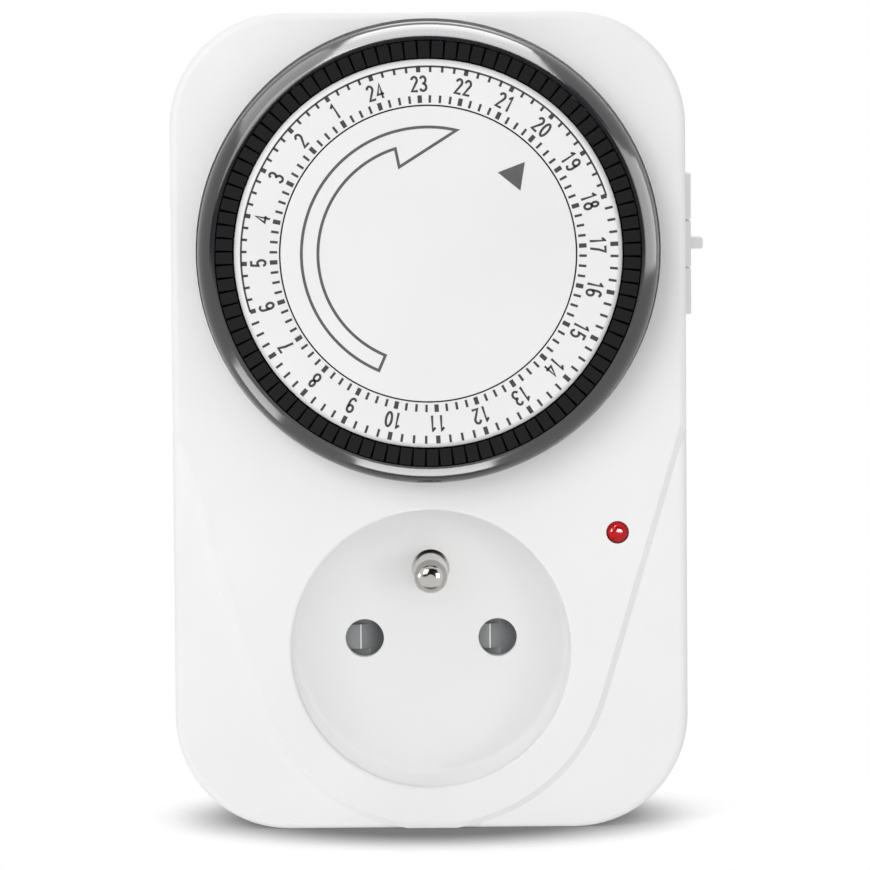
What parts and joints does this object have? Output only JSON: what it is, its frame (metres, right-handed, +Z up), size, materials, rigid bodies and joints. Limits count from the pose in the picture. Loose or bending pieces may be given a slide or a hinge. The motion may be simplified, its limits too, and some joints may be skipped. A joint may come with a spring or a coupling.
{
  "type": "plug-in timer switch",
  "caption": "Plug-in mechanical timer switch with a turning segment dial above a recessed pin-earthed socket, a side override slide, an indicator lamp and a round rear plug.",
  "frame": {"origin": "middle of the plug's face, on the shared axis of the plug and the front socket", "axes": "+X right as seen from the front, +Y to the back along the plug's pins, +Z up through the dial"},
  "size_m": [0.075, 0.0805, 0.1149],
  "materials": {
    "white_shell": "satin moulded",
    "white_socket": "moulded, slightly glossy",
    "white_dial": "smooth printed",
    "grey_shutter": "moulded",
    "black_segments": "moulded",
    "black_moulding": "moulded",
    "smoked_ring": "clear smoked",
    "natural_moulding": "natural acetal",
    "red_lens": "tinted lens",
    "circuit_board": "laminate",
    "nickel": "nickel plated brass",
    "brass": "stamped",
    "spring_steel": "drawn",
    "zinc_steel": "zinc plated",
    "motor_can": "drawn and plated"
  },
  "bodies": {
    "housing": {"front_housing": "white_shell", "rear_housing": "white_shell", "housing_screws": "zinc_steel", "pin_carrier": "black_moulding", "plug_pins": "nickel", "earth_sleeve": "brass", "earth_strap": "nickel", "earth_pin": "nickel", "socket_cup": "white_socket", "shutter_retainer": "grey_shutter", "shutter_spring": "spring_steel", "socket_contacts": "brass", "centre_cap": "white_dial", "gear_plate": "natural_moulding", "plate_screws": "zinc_steel", "motor": "motor_can", "idler_axle": "spring_steel", "follower_pin": "spring_steel", "fixed_contact": "brass", "switch_base": "black_moulding", "detent_leaf": "spring_steel", "lamp": "red_lens", "lamp_board": "circuit_board", "neutral_link": "brass", "load_link": "brass", "live_link": "brass"},
    "dial": {"dial_wheel": "black_moulding", "number_ring": "white_dial", "guard_ring": "smoked_ring", "dial_gear": "natural_moulding"},
    "idler": {"idler_gear": "natural_moulding"},
    "motor_rotor": {"motor_pinion": "natural_moulding"},
    "shutter_plate": {"shutter": "grey_shutter"},
    "follower": {"follower_lever": "natural_moulding"},
    "contact_arm": {"moving_contact": "brass"},
    "override": {"override_slider": "white_shell"},
    "segments_00h": {"segments_00h": "black_segments"},
    "segments_01h": {"segments_01h": "black_segments"},
    "segments_02h": {"segments_02h": "black_segments"},
    "segments_03h": {"segments_03h": "black_segments"},
    "segments_04h": {"segments_04h": "black_segments"},
    "segments_05h": {"segments_05h": "black_segments"},
    "segments_06h": {"segments_06h": "black_segments"},
    "segments_07h": {"segments_07h": "black_segments"},
    "segments_08h": {"segments_08h": "black_segments"},
    "segments_09h": {"segments_09h": "black_segments"},
    "segments_10h": {"segments_10h": "black_segments"},
    "segments_11h": {"segments_11h": "black_segments"},
    "segments_12h": {"segments_12h": "black_segments"},
    "segments_13h": {"segments_13h": "black_segments"},
    "segments_14h": {"segments_14h": "black_segments"},
    "segments_15h": {"segments_15h": "black_segments"},
    "segments_16h": {"segments_16h": "black_segments"},
    "segments_17h": {"segments_17h": "black_segments"},
    "segments_18h": {"segments_18h": "black_segments"},
    "segments_19h": {"segments_19h": "black_segments"},
    "segments_20h": {"segments_20h": "black_segments"},
    "segments_21h": {"segments_21h": "black_segments"},
    "segments_22h": {"segments_22h": "black_segments"},
    "segments_23h": {"segments_23h": "black_segments"}
  },
  "joints": [
    {"name": "dial_spin", "type": "hinge", "parent": "housing", "child": "dial", "pos_m": [0, -0.05, 0.056], "axis": [0, 1, 0], "continuous": true},
    {"name": "idler_spin", "type": "hinge", "parent": "housing", "child": "idler", "pos_m": [-0.0077, -0.044, 0.03486], "axis": [0, 1, 0], "continuous": true},
    {"name": "motor_spin", "type": "hinge", "parent": "housing", "child": "motor_rotor", "pos_m": [-0.01849, -0.042, 0.04773], "axis": [0, 1, 0], "continuous": true},
    {"name": "shutter_slide", "type": "slide", "parent": "housing", "child": "shutter_plate", "axis": [-1, 0, 0], "range_m": [0, 0.0055], "stiffness_N_per_m": 80, "springref_m": -0.002},
    {"name": "follower_swing", "type": "hinge", "parent": "housing", "child": "follower", "pos_m": [0.02103, -0.0436, 0.04601], "axis": [-1, 0, 0], "range_deg": [-4, 0], "stiffness_Nm_per_rad": 0.01, "springref_deg": -18.91},
    {"name": "contact_swing", "type": "hinge", "parent": "housing", "child": "contact_arm", "pos_m": [0.02103, -0.04065, 0.04201], "axis": [-1, 0, 0], "range_deg": [-3.2, 0]},
    {"name": "override_slide", "type": "slide", "parent": "housing", "child": "override", "axis": [0, 0, 1], "range_m": [-0.0016, 0.0016]},
    {"name": "segments_00h_push", "type": "slide", "parent": "dial", "child": "segments_00h", "axis": [0, 1, 0], "range_m": [0, 0.0024]},
    {"name": "segments_01h_push", "type": "slide", "parent": "dial", "child": "segments_01h", "axis": [0, 1, 0], "range_m": [0, 0.0024]},
    {"name": "segments_02h_push", "type": "slide", "parent": "dial", "child": "segments_02h", "axis": [0, 1, 0], "range_m": [0, 0.0024]},
    {"name": "segments_03h_push", "type": "slide", "parent": "dial", "child": "segments_03h", "axis": [0, 1, 0], "range_m": [0, 0.0024]},
    {"name": "segments_04h_push", "type": "slide", "parent": "dial", "child": "segments_04h", "axis": [0, 1, 0], "range_m": [0, 0.0024]},
    {"name": "segments_05h_push", "type": "slide", "parent": "dial", "child": "segments_05h", "axis": [0, 1, 0], "range_m": [0, 0.0024]},
    {"name": "segments_06h_push", "type": "slide", "parent": "dial", "child": "segments_06h", "axis": [0, 1, 0], "range_m": [0, 0.0024]},
    {"name": "segments_07h_push", "type": "slide", "parent": "dial", "child": "segments_07h", "axis": [0, 1, 0], "range_m": [0, 0.0024]},
    {"name": "segments_08h_push", "type": "slide", "parent": "dial", "child": "segments_08h", "axis": [0, 1, 0], "range_m": [0, 0.0024]},
    {"name": "segments_09h_push", "type": "slide", "parent": "dial", "child": "segments_09h", "axis": [0, 1, 0], "range_m": [0, 0.0024]},
    {"name": "segments_10h_push", "type": "slide", "parent": "dial", "child": "segments_10h", "axis": [0, 1, 0], "range_m": [0, 0.0024]},
    {"name": "segments_11h_push", "type": "slide", "parent": "dial", "child": "segments_11h", "axis": [0, 1, 0], "range_m": [0, 0.0024]},
    {"name": "segments_12h_push", "type": "slide", "parent": "dial", "child": "segments_12h", "axis": [0, 1, 0], "range_m": [0, 0.0024]},
    {"name": "segments_13h_push", "type": "slide", "parent": "dial", "child": "segments_13h", "axis": [0, 1, 0], "range_m": [0, 0.0024]},
    {"name": "segments_14h_push", "type": "slide", "parent": "dial", "child": "segments_14h", "axis": [0, 1, 0], "range_m": [0, 0.0024]},
    {"name": "segments_15h_push", "type": "slide", "parent": "dial", "child": "segments_15h", "axis": [0, 1, 0], "range_m": [0, 0.0024]},
    {"name": "segments_16h_push", "type": "slide", "parent": "dial", "child": "segments_16h", "axis": [0, 1, 0], "range_m": [0, 0.0024]},
    {"name": "segments_17h_push", "type": "slide", "parent": "dial", "child": "segments_17h", "axis": [0, 1, 0], "range_m": [0, 0.0024]},
    {"name": "segments_18h_push", "type": "slide", "parent": "dial", "child": "segments_18h", "axis": [0, 1, 0], "range_m": [0, 0.0024]},
    {"name": "segments_19h_push", "type": "slide", "parent": "dial", "child": "segments_19h", "axis": [0, 1, 0], "range_m": [0, 0.0024]},
    {"name": "segments_20h_push", "type": "slide", "parent": "dial", "child": "segments_20h", "axis": [0, 1, 0], "range_m": [0, 0.0024]},
    {"name": "segments_21h_push", "type": "slide", "parent": "dial", "child": "segments_21h", "axis": [0, 1, 0], "range_m": [0, 0.0024]},
    {"name": "segments_22h_push", "type": "slide", "parent": "dial", "child": "segments_22h", "axis": [0, 1, 0], "range_m": [0, 0.0024]},
    {"name": "segments_23h_push", "type": "slide", "parent": "dial", "child": "segments_23h", "axis": [0, 1, 0], "range_m": [0, 0.0024]}
  ],
  "couplings": [
    {"joint": "idler_spin", "follows": "dial_spin", "ratio": -4},
    {"joint": "motor_spin", "follows": "dial_spin", "ratio": 12},
    {"joint": "contact_swing", "follows": "follower_swing", "ratio": 0.77778}
  ]
}
